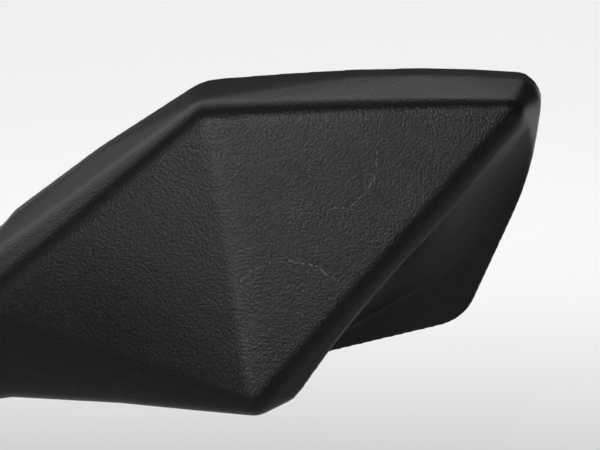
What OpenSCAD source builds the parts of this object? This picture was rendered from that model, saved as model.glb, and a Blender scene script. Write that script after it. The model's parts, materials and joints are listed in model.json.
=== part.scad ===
// Rear-view mirror for a powered two-wheeler, left-hand side.
// A faceted head turns on a ball at the top of a bent steel stem, and the stem swivels in a
// threaded adapter that screws into the handlebar perch.
// Frame: +Z up along the stud, +Y forwards, -X outwards. The origin is on the stud's axis,
// in the plane where the adapter's flange seats on the perch.
// Head frame, used inside head(): x outwards, y forwards, z up, from the centre of the ball.

/* [Stem] */
// Diameter of the stem rod
rod_d = 10; // [9.8:0.1:10.2]
// Height of the straight upright before the bend
stem_rise = 64; // [58:1:90]
// Radius of the bend
bend_r = 32; // [26:1:40]
// Angle that the bend turns the rod outwards
bend_angle = 50; // [46:1:54]
// Length of the inclined rod, from the bend to the centre of the ball
reach = 80; // [70:1:100]

/* [Threads and nuts] */
// Diameter of the stud that screws into the perch
stud_d = 10; // [8, 10]
// Length of the stud below the flange
stud_length = 20; // [16:1:24]
// Hexagon across its flats
hex_af = 14; // [14:0.5:15]
// Height of the adapter above the perch
adapter_h = 20; // [18:1:22]

/* [Ball joint] */
// Diameter of the ball
ball_d = 16; // [15.8:0.1:16.2]
// Thickness of the two nylon liner halves
liner_t = 1.1; // [1.0:0.1:1.2]

/* [Head] */
// Wall thickness of the housing
wall = 2.4; // [2.2:0.1:2.6]
// Distance of the rim's plane behind the ball, towards the rider
rim_depth = 24; // [23.5:0.5:24.5]
// Radius of the convex glass
glass_r = 1200; // [1000:50:1400]
// Thickness of the glass
glass_t = 2.2; // [2:0.1:2.4]

/* [Hidden] */
eps = 0.01;

// Stem path
rod_r = rod_d / 2;
bend_end = [-bend_r * (1 - cos(bend_angle)), 0, stem_rise + bend_r * sin(bend_angle)];
ball_pos = bend_end + reach * [-sin(bend_angle), 0, cos(bend_angle)];

// Base stack, from the perch up
stud_r = stud_d / 2;
stud_point = 1.2;                  // chamfer at the stud's end
flange_r = 9;
flange_t = 2;
bore_depth = 15;
bore_r = rod_r;
shank_r = bore_r - 0.05;           // lower end of the stem, running in the adapter's bore
shank_gap = 1;                     // left below the shank in the bore
washer_t = 1.2;
washer_r = 8;
nut_h = 6;
nut_z = adapter_h + washer_t + 0.2;

// Dust boot, a rubber bell over the adapter and the nut
boot_foot = 3;
boot_foot_r = 12.5;
boot_wall = 1.6;
boot_draw = 40;                    // height where the bell has drawn in to the rod
boot_top = 46;
boot_steps = 16;
boot_neck_r = rod_r + boot_wall;
ring_r = 0.8;                      // section of the boot's snap ring
ring_z = 43;

// Ball joint, all about the ball's centre
ball_r = ball_d / 2;
pin_r = 3.75;                      // the stem's end inside the ball
pin_end = 7;                       // how far the pin reaches past the ball's centre
gap = 0.1;                         // running gap between the joint's spheres
liner_in = ball_r + gap;
liner_out = liner_in + liner_t;
socket_in = liner_out + gap;
socket_out = socket_in + 2.2;
dome_in = socket_out + 0.4;
dome_out = dome_in + 1.2;
neck_in = dome_out + 0.4;
neck_out = neck_in + wall;
shoulder = 17;                     // where the rod steps down to the ball's pin
let_in = 0.02;                     // angle by which the bend's ends reach into the straight rods
draw_down = 0.002;                 // how much the rod thins where it is bent
split = 0.15;                      // half the gap between the liner halves
liner_opening = 50;                // half angle of the liners' mouth round the rod
socket_opening = 54;               // half angle of the sockets' mouth
dome_reach = 69;                   // half angle that the seal covers
mouth = 45;                        // half angle of the housing's mouth
cone_start = 4;                    // where the cones that cut these begin
collar_r = 4.5;                    // the seal's collar, on the pin
seal_ring_r = 0.6;
seal_ring_at = 15.3;               // along the rod from the ball's centre

// Bracket and clamp plate, two pressed plates either side of the ball
clamp_gap = 1;                     // half the gap between them
bracket_t = 3;
clamp_t = 2.5;
bracket_front = clamp_gap + bracket_t;
clamp_back = clamp_gap + clamp_t;
BRACKET_OUTLINE = [
    [7, 15, 4], [32, 26, 6], [66, 28, 6], [66, 16, 6], [44, 1, 6], [16, -8, 4], [7, -6, 2]];
CLAMP_OUTLINE = [[7, 15, 4], [24, 20, 4], [29, 14, 3], [29, -2, 3], [20, -7, 4], [7, -6, 2]];
lip = [25.5, 0, 3, 12];            // fulcrum at the clamp plate's far end: x, z, width, height

// Fasteners
clamp_thread_r = 2;
clamp_clear_r = 2.2;
clamp_head_r = 3.5;
clamp_head_h = 2.8;
clamp_tail = 1.5;                  // of the screw past the nut
nut_af = 7;
small_nut_h = 3.2;
spring_r = 3.2;
spring_wire = 0.9;
spring_h = 5;
tapping_r = 1.4;                   // self-tapping screws into the housing's bosses
pilot_r = 1.45;
tapping_clear_r = 1.7;
tapping_head_r = 3.2;
tapping_head_h = 2.2;
tapping_grip = 4;                  // length of a tapping screw in its boss
csk_r = 2.8;
csk_h = 1.5;
boss_r = 3.6;
boss_gap = 0.3;                    // between a boss and the back of the glass carrier

// Glass stack, from the rider's side forwards
rim_y = -rim_depth;
rim_wall = 8;                      // height of the straight wall round the glass
glass_y = rim_y + 0.4;
pad_t = 1;
carrier_t = 2;
gasket_t = 1.1;
glass_inset = wall + 0.1 + gasket_t;
pad_inset = 0.5;                   // of the pad inside the carrier's outline
ledge = 1.8;
seat_y = rim_y + 5.5;              // ledge behind the glass's edge
glass_centre = [122, 46];          // x, z of the glass's highest point
lens_facets = 360;

// Corners of the rim, [x, z, radius], in order round the head
RIM = [
    [101.5, 85.4, 18], [145, 90.2, 120], [178, 91.3, 60], [198.3, 90, 8], [195.3, 62, 90],
    [177.4, 17.4, 15], [128, 2.6, 60], [44, 0, 10], [41.5, 41, 12], [71, 64.3, 120]];

// Round corners of the shell's front, [x, y, z, radius]
TIP = [189, -7, 84.2, 4.5];
BROW = [105.5, -6, 77.5, 8];
KEEL = [121, 19.6, 6.6, 5.5];
CHEEK = [50, -7, 25, 16];

// Chain of balls that rolls the shell under at its inner end, from the bottom up
belly_x = 48;
belly_axis = [-33, 13];            // y, z of the line that the chain goes round
belly_out = 47;                    // from that line to the shell's skin
belly_r = [6, 13];
belly_swing = [-16, 15];
belly_steps = 5;
BELLY = [
    for (k = [0:belly_steps])
        let (
            r = belly_r[0] + (belly_r[1] - belly_r[0]) * k / belly_steps,
            t = belly_swing[0] + (belly_swing[1] - belly_swing[0]) * k / belly_steps,
            at = belly_axis + (belly_out - r) * [cos(t), sin(t)])
        [belly_x, at[0], at[1], r]];

// Corners of the carrier behind the glass, clear of the hollow
CARRIER_OUTLINE = [
    [104, 77, 10], [188, 82, 6], [184, 62, 20], [168, 39, 20], [138, 18, 15], [124, 10, 12],
    [54, 9, 8], [54, 40, 8]];

// Path of the hollow scooped out between the ridge and the rim's lower outer corner
COVE = [[146.5, -5, -23], [163, 4, -11], [190, 18, 23], [221, 12, 67]];
cove_r = 36;

// Screw places in the head, [x, z]
BRACKET_SCREWS = [[34, 20], [46, 9], [60, 22]];
CLAMP_SCREWS = [[13.5, 11.3], [18.5, -2]];
CARRIER_SCREWS = [[107, 68], [178, 74], [137, 28], [82, 17]];

$fn = 48;

function unit(v) = v / norm(v);

// Centre, radius, first angle and turn of the arc that rounds corner i, moved in by inset
function corner_arc(outline, i, inset) =
    let (
        n = len(outline),
        flat = [for (j = [-1:1]) let (c = outline[(i + j + n) % n]) [c.x, c.y]],
        a = unit(flat[0] - flat[1]),
        b = unit(flat[2] - flat[1]),
        half = acos(a * b) / 2,
        r = max(outline[i][2], inset + 0.5),
        centre = flat[1] + unit(a + b) * r / sin(half),
        from = flat[1] + a * r / tan(half) - centre,
        turn = 180 - 2 * half)
    [centre, r - inset, atan2(from.y, from.x), turn];

// The outline's points, clockwise, each corner a run of short chords
function rounded(outline, inset = 0) = [
    for (i = [0:len(outline) - 1])
        let (arc = corner_arc(outline, i, inset), steps = max(2, ceil(arc[3] / 6)))
        for (k = [0:steps])
            let (t = arc[2] - arc[3] * k / steps)
            arc[0] + arc[1] * [cos(t), sin(t)]];

// How far the convex glass falls away at p, [x, z], below its highest point
function sag(p) = glass_r - sqrt(pow(glass_r, 2) - pow(norm(p - glass_centre), 2));

// Back face of the glass carrier at p
function carrier_back(p) = glass_y + glass_t + pad_t + carrier_t + sag(p);

module head() translate(ball_pos) mirror([1, 0, 0]) children();

// Turns +Z to the way the rod leaves the ball, in the head frame
module along_rod() rotate([0, bend_angle - 180, 0]) children();

// Prism of a rounded outline between two depths
module prism(outline, inset, y0, y1)
    translate([0, y1, 0]) rotate([90, 0, 0]) linear_extrude(y1 - y0) polygon(rounded(outline, inset));

module rim_prism(inset, y0, y1) prism(RIM, inset, y0, y1);

// Puts what is drawn along +Z at p, [x, z], pointing forwards from y
module at_screw(p, y) translate([p.x, y, p.y]) rotate([-90, 0, 0]) children();

// Cone round the rod, about the ball's centre, as far out as length
module rod_cone(half_angle, length)
    along_rod() translate([0, 0, cone_start])
        cylinder(h = length - cone_start, r1 = cone_start * tan(half_angle), r2 = length * tan(half_angle));

module hexagon(af, h) cylinder(h = h, r = af / 2 / cos(30), $fn = 6);

// Everything in front of y, or behind it when side is -1
module half_space(y, side = 1) translate([-50, side > 0 ? y : y - 100, -50]) cube(100);

module knob(c, shrink) translate([c[0], c[1], c[2]]) sphere(c[3] - shrink, $fn = 32);

module cove(r)
    for (i = [0:len(COVE) - 2]) hull() {
        translate(COVE[i]) sphere(r);
        translate(COVE[i + 1]) sphere(r);
    }

// The head's outer skin as a solid, or its inside when shrink is the wall
module head_solid(shrink, inset) {
    difference() {
        hull() {
            rim_prism(inset, rim_y - shrink, rim_y + rim_wall - shrink);
            for (c = concat([TIP, BROW, KEEL, CHEEK], BELLY)) knob(c, shrink);
        }
        difference() {
            cove(cove_r + shrink);
            rim_prism(inset, rim_y - wall, rim_y + rim_wall - shrink);
        }
    }
    hull() {
        sphere(neck_out - shrink);
        for (c = concat([CHEEK], BELLY)) knob(c, shrink);
        intersection() {
            rim_prism(inset, rim_y + 1, rim_y + 6);
            translate([0, rim_y, 0]) cube([58, 40, 60]);
        }
    }
}

module pilot_hole() cylinder(h = tapping_grip + 1.5, r = pilot_r);

module housing() color("#2b2c2e") head() {
    difference() {
        head_solid(0, 0);
        difference() {
            head_solid(wall, wall + ledge);
            for (p = BRACKET_SCREWS) at_screw(p, bracket_front) cylinder(h = 30, r = boss_r);
            for (p = CARRIER_SCREWS) at_screw(p, carrier_back(p) + boss_gap) cylinder(h = 50, r = boss_r);
        }
        rim_prism(wall, rim_y - 1, seat_y);
        rod_cone(mouth, 30);
        for (p = BRACKET_SCREWS) at_screw(p, bracket_front - 1) pilot_hole();
        for (p = CARRIER_SCREWS) at_screw(p, carrier_back(p) - 1) pilot_hole();
    }
}

// Sheet of thickness t that follows the glass, set back from its face
module glass_layer(outline, inset, back, t)
    intersection() {
        prism(outline, inset, rim_y, rim_y + 14);
        translate([glass_centre.x, glass_y + glass_r, glass_centre.y]) difference() {
            sphere(glass_r - back, $fn = lens_facets);
            sphere(glass_r - back - t, $fn = lens_facets);
        }
    }

module glass() color("#b9c4c9") head() glass_layer(RIM, glass_inset, 0, glass_t);

module glass_gasket() color("#101011") head() difference() {
    rim_prism(wall + 0.1, rim_y + 0.8, seat_y);
    rim_prism(wall + 0.1 + gasket_t, rim_y, seat_y + 1);
}

module adhesive_pad() color("#3a3a3c") head() glass_layer(CARRIER_OUTLINE, pad_inset, glass_t, pad_t);

module glass_carrier() color("#1d1d1f") head() difference() {
    glass_layer(CARRIER_OUTLINE, 0, glass_t + pad_t, carrier_t);
    for (p = CARRIER_SCREWS) at_screw(p, carrier_back(p)) {
        translate([0, 0, -carrier_t - 1]) cylinder(h = carrier_t + 2, r = tapping_clear_r);
        translate([0, 0, -carrier_t - eps]) cylinder(h = csk_h, r1 = csk_r, r2 = tapping_clear_r);
    }
}

module carrier_screws() color("#8a8c90") head()
    for (p = CARRIER_SCREWS) at_screw(p, carrier_back(p) - carrier_t + 0.2) {
        cylinder(h = csk_h - 0.2, r1 = csk_r - 0.3, r2 = tapping_r);
        cylinder(h = carrier_t + tapping_grip, r = tapping_r);
    }

// Half of the ball's socket, with the plate that carries it; side is 1 in front, -1 behind
module socket_plate(outline, t, side) difference() {
    union() {
        intersection() {
            sphere(socket_out);
            half_space(side * clamp_gap, side);
        }
        prism(outline, 0, side > 0 ? clamp_gap : -clamp_gap - t, side > 0 ? clamp_gap + t : -clamp_gap);
    }
    sphere(socket_in);
    rod_cone(socket_opening, 30);
    for (p = CLAMP_SCREWS) at_screw(p, -10) cylinder(h = 20, r = clamp_clear_r);
}

module pivot_bracket() color("#9a9ca0") head() difference() {
    socket_plate(BRACKET_OUTLINE, bracket_t, 1);
    for (p = BRACKET_SCREWS) at_screw(p, -10) cylinder(h = 20, r = tapping_clear_r);
}

module bracket_screws() color("#8a8c90") head()
    for (p = BRACKET_SCREWS) at_screw(p, clamp_gap - tapping_head_h) {
        cylinder(h = tapping_head_h, r = tapping_head_r);
        cylinder(h = tapping_head_h + bracket_t + tapping_grip, r = tapping_r);
    }

module clamp_plate() color("#8f9195") head() {
    socket_plate(CLAMP_OUTLINE, clamp_t, -1);
    translate([lip[0], -clamp_gap - eps, lip[1]]) cube([lip[2], 2 * clamp_gap + eps, lip[3]]);
}

module clamp_screws() color("#c9cbcf") head()
    for (p = CLAMP_SCREWS) at_screw(p, -clamp_back - spring_h - clamp_head_h) {
        cylinder(h = clamp_head_h, r = clamp_head_r);
        cylinder(
            h = clamp_head_h + spring_h + clamp_back + bracket_front + small_nut_h + clamp_tail,
            r = clamp_thread_r - 0.02);
    }

module clamp_springs() color("#b5b7bb") head()
    for (p = CLAMP_SCREWS) at_screw(p, -clamp_back - spring_h) difference() {
        cylinder(h = spring_h, r = spring_r);
        translate([0, 0, -1]) cylinder(h = spring_h + 2, r = spring_r - spring_wire);
    }

module clamp_nuts() color("#c9cbcf") head()
    for (p = CLAMP_SCREWS) at_screw(p, bracket_front) difference() {
        hexagon(nut_af, small_nut_h);
        translate([0, 0, -1]) cylinder(h = small_nut_h + 2, r = clamp_thread_r);
    }

// Half of the nylon shell round the ball; side is 1 in front, -1 behind
module liner(side) head() intersection() {
    along_rod() rotate_extrude() intersection() {
        difference() {
            circle(liner_out);
            circle(liner_in);
        }
        polygon([[0, 0], 20 * [sin(liner_opening), cos(liner_opening)], [20, -20], [0, -20]]);
    }
    half_space(side * split, side);
}
module liner_rear() color("#e8e4d8") liner(-1);
module liner_front() color("#e8e4d8") liner(1);

module pivot_ball() color("#d6d8db") head() difference() {
    sphere(ball_r);
    along_rod() translate([0, 0, -ball_r - 1]) cylinder(h = 2 * ball_r + 2, r = pin_r);
}

module stem() color("#1c1d1f") {
    shank_foot = adapter_h - bore_depth + shank_gap;
    translate([0, 0, shank_foot]) cylinder(h = adapter_h - shank_foot, r = shank_r);
    translate([0, 0, adapter_h]) cylinder(h = stem_rise - adapter_h, r = rod_r);
    translate([-bend_r, 0, stem_rise]) rotate([90, 0, 0]) rotate([0, 0, -let_in])
        rotate_extrude(angle = bend_angle + 2 * let_in) translate([bend_r, 0]) circle(rod_r - draw_down);
    head() along_rod() {
        translate([0, 0, shoulder]) cylinder(h = reach - shoulder, r = rod_r);
        translate([0, 0, -pin_end]) cylinder(h = pin_end + shoulder + eps, r = pin_r);
    }
}

module seal_ring_solid() along_rod() translate([0, 0, seal_ring_at])
    rotate_extrude() translate([collar_r, 0]) circle(seal_ring_r);

module seal_dome() color("#161617") head() difference() {
    union() {
        intersection() {
            difference() {
                sphere(dome_out);
                sphere(dome_in);
            }
            rod_cone(dome_reach, 20);
        }
        along_rod() translate([0, 0, dome_in]) cylinder(h = shoulder - dome_in, r = collar_r);
    }
    along_rod() cylinder(h = shoulder + 1, r = pin_r);
    seal_ring_solid();
}

module seal_ring() color("#a8aaad") head() difference() {
    seal_ring_solid();
    along_rod() cylinder(h = shoulder + 1, r = pin_r);
}

// Outer radius of the boot's bell at height z
function bell(z) =
    let (u = min(1, (z - boot_foot) / (boot_draw - boot_foot)))
    boot_neck_r + (boot_foot_r - boot_neck_r) * (1 + cos(180 * pow(u, 2.2))) / 2;

module dust_boot() color("#141415") {
    heights = [for (k = [0:boot_steps]) boot_foot + (boot_draw - boot_foot) * k / boot_steps];
    outside = concat([for (z = heights) [bell(z), z]], [[boot_neck_r, boot_top]]);
    inside = concat([for (z = heights) [bell(z) - boot_wall, z]], [[rod_r, boot_top]]);
    difference() {
        rotate_extrude() polygon(concat(outside, [for (k = [len(inside) - 1:-1:0]) inside[k]]));
        boot_ring_solid();
    }
}

module boot_ring_solid() translate([0, 0, ring_z])
    rotate_extrude() translate([boot_neck_r, 0]) circle(ring_r);

module boot_ring() color("#a8aaad") boot_ring_solid();

module lock_nut() color("#b9bbbf") translate([0, 0, nut_z]) difference() {
    hexagon(hex_af, nut_h);
    translate([0, 0, -1]) cylinder(h = nut_h + 2, r = rod_r);
}

module wave_washer() color("#c4c6ca") translate([0, 0, adapter_h]) difference() {
    cylinder(h = washer_t, r = washer_r);
    translate([0, 0, -1]) cylinder(h = washer_t + 2, r = rod_r + 0.3);
}

module adapter() color("#a2a4a8") difference() {
    union() {
        translate([0, 0, flange_t - eps]) hexagon(hex_af, adapter_h - flange_t + eps);
        cylinder(h = flange_t, r = flange_r);
        translate([0, 0, stud_point - stud_length]) cylinder(h = stud_length - stud_point + eps, r = stud_r);
        translate([0, 0, -stud_length]) cylinder(h = stud_point, r1 = stud_r - stud_point, r2 = stud_r);
    }
    translate([0, 0, adapter_h - bore_depth]) cylinder(h = bore_depth + 1, r = bore_r);
}

housing();
glass();
glass_gasket();
adhesive_pad();
glass_carrier();
carrier_screws();
pivot_bracket();
bracket_screws();
clamp_plate();
clamp_screws();
clamp_springs();
clamp_nuts();
liner_rear();
liner_front();
pivot_ball();
stem();
seal_dome();
seal_ring();
dust_boot();
boot_ring();
lock_nut();
wave_washer();
adapter();
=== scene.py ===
# %% [markdown]
# # A rear-view mirror on a bent stem
#
# The mirror's head is a thin faceted shell of grained black plastic with a convex glass in its
# back. It turns on a steel ball at the top of a bent rod, and the rod swivels in a threaded adapter
# under a rubber bell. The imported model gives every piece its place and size. This notebook gives
# the pieces their finished shapes and surfaces.

# %% Load the frame
import json
import math

import bmesh
import bpy
from mathutils import Matrix, Vector


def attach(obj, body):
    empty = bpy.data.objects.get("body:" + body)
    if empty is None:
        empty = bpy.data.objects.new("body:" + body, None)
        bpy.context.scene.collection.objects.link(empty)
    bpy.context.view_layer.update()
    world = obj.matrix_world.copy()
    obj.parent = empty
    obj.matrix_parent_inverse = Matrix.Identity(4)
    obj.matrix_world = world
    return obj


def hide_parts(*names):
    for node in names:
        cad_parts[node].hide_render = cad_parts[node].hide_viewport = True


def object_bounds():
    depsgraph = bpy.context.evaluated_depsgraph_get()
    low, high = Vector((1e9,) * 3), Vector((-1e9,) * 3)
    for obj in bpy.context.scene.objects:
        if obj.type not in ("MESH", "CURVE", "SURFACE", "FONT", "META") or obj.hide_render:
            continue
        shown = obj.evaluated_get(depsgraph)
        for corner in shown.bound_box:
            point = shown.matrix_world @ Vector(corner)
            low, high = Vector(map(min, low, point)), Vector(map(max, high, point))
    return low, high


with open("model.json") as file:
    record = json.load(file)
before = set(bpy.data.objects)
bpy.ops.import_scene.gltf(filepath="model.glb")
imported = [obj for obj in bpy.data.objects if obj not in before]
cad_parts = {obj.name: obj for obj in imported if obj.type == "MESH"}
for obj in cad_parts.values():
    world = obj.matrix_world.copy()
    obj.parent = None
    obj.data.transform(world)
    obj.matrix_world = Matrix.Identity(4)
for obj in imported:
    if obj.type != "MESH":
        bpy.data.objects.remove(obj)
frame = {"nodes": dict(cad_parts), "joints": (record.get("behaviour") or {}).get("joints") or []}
cad_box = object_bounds()
MM = 0.001

# %% [markdown]
# ## Where things are
#
# The ball is the centre of the head, so the head is drawn in millimetres from it: x outwards along
# the mirror, y forwards, z up. The rod leaves the ball downwards and inwards, fifty degrees off the
# vertical. Everything under the bend is drawn round the stud's own axis, which is world Z.

# %% The head's own axes
joint_places = {joint["name"]: Vector(joint["pos_m"]) for joint in frame["joints"]}
BALL = joint_places["head_tilt"]
BEND_ANGLE = math.radians(50)
ROD_DOWN = Vector((math.sin(BEND_ANGLE), 0, -math.cos(BEND_ANGLE)))


def head(x, y, z):
    """A point given from the ball's centre in millimetres, as a world point."""
    return BALL + Vector((-x, y, z)) * MM


AT_BALL = Matrix.Translation(BALL) @ ROD_DOWN.to_track_quat("Z", "Y").to_matrix().to_4x4()
print("ball centre, mm:", [round(c / MM, 2) for c in BALL])

# %% [markdown]
# ## Turning shapes into pieces
#
# A bmesh is only a drawing until it is written to a mesh that an object shows. The steps are the
# same for each piece: merge doubled points, make the faces point outwards, shade smoothly with
# sharp edges kept sharp, then say which body carries the piece and which plain solid it stands for.


# %% Helpers for meshes
def link(name, mesh):
    """A new object at the origin."""
    made = bpy.data.objects.new(name, mesh)
    bpy.context.scene.collection.objects.link(made)
    return made


def written(bm, name, sharp=35):
    """The bmesh as an object, smooth except across edges sharper than the angle in degrees."""
    bmesh.ops.remove_doubles(bm, verts=bm.verts, dist=0.002 * MM)
    bmesh.ops.recalc_face_normals(bm, faces=bm.faces)
    for face in bm.faces:
        face.smooth = True
    for edge in bm.edges:
        edge.smooth = edge.calc_face_angle(0) < math.radians(sharp)
    mesh = bpy.data.meshes.new(name)
    bm.to_mesh(mesh)
    bm.free()
    return link(name, mesh)


def applied(thing):
    """Bakes the object's modifiers into its mesh."""
    graph = bpy.context.evaluated_depsgraph_get()
    baked = bpy.data.meshes.new_from_object(thing.evaluated_get(graph))
    thing.modifiers.clear()
    thing.data = baked
    return thing


def combined(thing, operation, *others):
    """Applies a boolean of the object with each of the others, which are used up."""
    for other in others:
        cut = thing.modifiers.new("cut", "BOOLEAN")
        cut.operation, cut.object, cut.solver = operation, other, "MANIFOLD"
        applied(thing)
        bpy.data.objects.remove(other)
    return thing


def turned(points, matrix=None, steps=96):
    """Spins a profile of [radius, height] points in mm round Z; ends on the axis need no closing."""
    bm = bmesh.new()
    row = [bm.verts.new((radius * MM, 0, height * MM)) for radius, height in points]
    for a, b in zip(row, row[1:]):
        bm.edges.new((a, b))
    if points[0][0] > 0:
        bm.edges.new((row[-1], row[0]))
    bmesh.ops.spin(
        bm, geom=bm.verts[:] + bm.edges[:], cent=(0, 0, 0), axis=(0, 0, 1), angle=2 * math.pi,
        steps=steps, use_merge=True)
    bmesh.ops.remove_doubles(bm, verts=bm.verts, dist=0.002 * MM)
    bmesh.ops.transform(bm, matrix=matrix or Matrix(), verts=bm.verts)
    bmesh.ops.recalc_face_normals(bm, faces=bm.faces)
    return bm


def reshaped(thing):
    """The object's mesh as a bmesh again; the object is used up."""
    bm = bmesh.new()
    bm.from_mesh(thing.data)
    bpy.data.objects.remove(thing)
    return bm


def finished(thing, body, slot, material, *nodes):
    """Hands a piece over: its body and material, and the plain solids that it replaces; the slot is not
    used.
    """
    thing.data.materials.clear()
    thing.data.materials.append(material)
    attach(thing, body)
    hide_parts(*nodes)
    print(f"{thing.name}: {len(thing.data.polygons)} faces on {body}")
    return thing


# %% [markdown]
# ## Procedural finishes
#
# Every surface is built from shader nodes that read the piece's own coordinates, so a grain keeps
# its real size in millimetres on any piece. One helper starts a Principled material, another adds a
# node and wires it in one line.


# %% Helpers for materials
def shaded(name, roughness, metallic=0.0, **sockets):
    """A material whose even values are set straight on the shader."""
    material = bpy.data.materials.new(name)
    material.use_nodes = True
    shader = material.node_tree.nodes["Principled BSDF"]
    shader.inputs["Roughness"].default_value = roughness
    shader.inputs["Metallic"].default_value = metallic
    for socket, value in sockets.items():
        shader.inputs[socket.replace("_", " ")].default_value = value
    return material


def node(material, kind, inputs, output=0, **settings):
    """Adds a node, sets or links its inputs, and returns one of its outputs."""
    made = material.node_tree.nodes.new("ShaderNode" + kind)
    for setting, value in settings.items():
        setattr(made, setting, value)
    for socket, value in inputs.items():
        if isinstance(value, bpy.types.NodeSocket):
            material.node_tree.links.new(value, made.inputs[socket])
        else:
            made.inputs[socket].default_value = value
    return made.outputs[output]


def into(material, socket, value):
    """Links a value into the material's shader."""
    shader = material.node_tree.nodes["Principled BSDF"]
    material.node_tree.links.new(value, shader.inputs[socket])


def place(material):
    """Object coordinates, which are metres in the frame."""
    return node(material, "TexCoord", {}, output=3)


def noise(material, size_mm, detail=2.0, roughness=0.5):
    """Noise whose blobs are about size_mm across."""
    inputs = {"Vector": place(material), "Scale": 1 / (size_mm * MM), "Detail": detail}
    return node(material, "TexNoise", inputs | {"Roughness": roughness})


def between(material, value, low, high, start=0.0, stop=1.0):
    """Maps a value from start..stop to a number between low and high."""
    inputs = {"Value": value, 1: start, 2: stop, 3: low, 4: high}
    return node(material, "MapRange", inputs)


def tones(material, value, dark, light):
    """A colour between two, chosen by the value."""
    inputs = {"Factor": value, "A": (*dark, 1), "B": (*light, 1)}
    return mixed(material, inputs)


def mixed(material, inputs):
    """Colour mix; the RGBA sockets are the last three of the node's inputs."""
    made = material.node_tree.nodes.new("ShaderNodeMix")
    made.data_type = "RGBA"
    sockets = {"Factor": made.inputs[0], "A": made.inputs[6], "B": made.inputs[7]}
    for name, value in inputs.items():
        if isinstance(value, bpy.types.NodeSocket):
            material.node_tree.links.new(value, sockets[name])
        else:
            sockets[name].default_value = value
    return made.outputs[2]


def bumped(material, height, depth_mm, strength=1.0):
    """Lets a height pattern tilt the surface's normals."""
    inputs = {"Height": height, "Distance": depth_mm * MM, "Strength": strength}
    into(material, "Normal", node(material, "Bump", inputs))


# %% [markdown]
# ## Grained plastic
#
# The shell is moulded in black polypropylene. The mould is etched with a fine leather-like grain of
# about half a millimetre, which breaks the gloss into sparkles. A soft second noise makes some
# areas a little more polished by handling. Thin pale scratches lie on the outer facet: each is a
# part of a circle, found by comparing the distance from the circle's centre with its radius.


# %% Grained plastic
def scratch(material, centre, radius_mm, width_mm, towards, reach):
    """Mask of a broken arc round a centre, kept on the side that it faces."""
    flat = node(material, "VectorMath", {0: place(material), 1: (1, 0, 1)}, operation="MULTIPLY")
    middle = (centre.x, 0, centre.z)
    offset = node(material, "VectorMath", {0: flat, 1: middle}, operation="SUBTRACT")
    distance = node(material, "VectorMath", {0: offset}, output=1, operation="LENGTH")
    off_arc = node(material, "Math", {0: distance, 1: radius_mm * MM}, operation="SUBTRACT")
    wobble = between(material, noise(material, 4), -1.2 * MM, 1.2 * MM)
    off_arc = node(material, "Math", {0: off_arc, 1: wobble}, operation="ADD")
    off_arc = node(material, "Math", {0: off_arc}, operation="ABSOLUTE")
    line = between(material, off_arc, 1, 0, 0.3 * width_mm * MM, width_mm * MM)
    along = node(material, "VectorMath", {0: offset, 1: towards}, output=1, operation="DOT_PRODUCT")
    side = between(material, along, 0, 1, reach * radius_mm * MM, (reach + 0.08) * radius_mm * MM)
    broken = between(material, noise(material, 0.7), 0, 1, 0.45, 0.6)
    return node(
        material, "Math",
        {0: node(material, "Math", {0: line, 1: side}, operation="MULTIPLY"), 1: broken},
        operation="MULTIPLY")


RIDGE_FOOT, RIDGE_TOP = (119, 11), (108, 76)


def ridge_highlight_and_wear(material):
    """Mask of the painted highlight and pale wear on the soft ridge: sharp on its inner side, fading
    outwards.
    """
    run = Vector((RIDGE_FOOT[0] - RIDGE_TOP[0], 0, RIDGE_TOP[1] - RIDGE_FOOT[1])).normalized()
    across = Vector((-run.z, 0, run.x))
    foot = head(RIDGE_FOOT[0], 0, RIDGE_FOOT[1])
    offset = node(material, "VectorMath", {0: place(material), 1: foot}, operation="SUBTRACT")
    mask = noise(material, 1.2, detail=4, roughness=0.7)
    mask = between(material, mask, 0.15, 1, 0.4, 0.65)
    for direction, low, high, start, stop in (
            (across, 0, 1, -1.5, 0.8), (across, 1, 0, 0.8, 8), (run, 0, 1, -3, 8),
            (run, 1, 0.25, 20, 64), (Vector((0, 1, 0)), 0, 1, -2, 4)):
        along = node(
            material, "VectorMath", {0: offset, 1: direction}, output=1, operation="DOT_PRODUCT")
        along = between(material, along, low, high, start * MM, stop * MM)
        mask = node(material, "Math", {0: mask, 1: along}, operation="MULTIPLY")
    return mask


# Each scratch: circle's centre, its radius and the line's width in mm, facing, share kept
UPPER_SCRATCH = (head(140.5, 5, 71), 12.5, 0.3, (-0.79, 0, -0.62), 0.6)
LOWER_SCRATCH = (head(130, 14, 26.5), 18.3, 0.35, (0.09, 0, 1), 0.63)
PIT_BLACK, PEAK_BLACK = (0.002, 0.003, 0.004), (0.013, 0.0155, 0.0175)
# The first grey paints a highlight together with pale wear along the soft ridge; the second is the
# scratches.
HIGHLIGHT_AND_WEAR_GREY, SCRATCH_GREY = (0.055, 0.06, 0.063, 1), (0.2, 0.21, 0.21, 1)

grained_plastic = shaded("grained_plastic", 0.5, IOR=1.49)
grain = noise(grained_plastic, 0.7, detail=2.5, roughness=0.6)
polish = noise(grained_plastic, 22)
scratches = node(grained_plastic, "Math", {
    0: scratch(grained_plastic, *UPPER_SCRATCH), 1: scratch(grained_plastic, *LOWER_SCRATCH)},
    operation="MAXIMUM")
peaks = between(grained_plastic, grain, 0, 1, 0.35, 0.65)
base = tones(grained_plastic, peaks, PIT_BLACK, PEAK_BLACK)
# A painted highlight with pale wear along the soft ridge, laid over the grain's tones
highlighted_and_worn = mixed(grained_plastic, {
    "Factor": ridge_highlight_and_wear(grained_plastic), "A": base, "B": HIGHLIGHT_AND_WEAR_GREY})
into(grained_plastic, "Base Color", mixed(
    grained_plastic, {"Factor": scratches, "A": highlighted_and_worn, "B": SCRATCH_GREY}))
into(grained_plastic, "Roughness", between(grained_plastic, polish, 0.32, 0.37, 0.3, 0.7))
bumped(grained_plastic, grain, 0.15, 1.0)
print("grained plastic ready")

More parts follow.
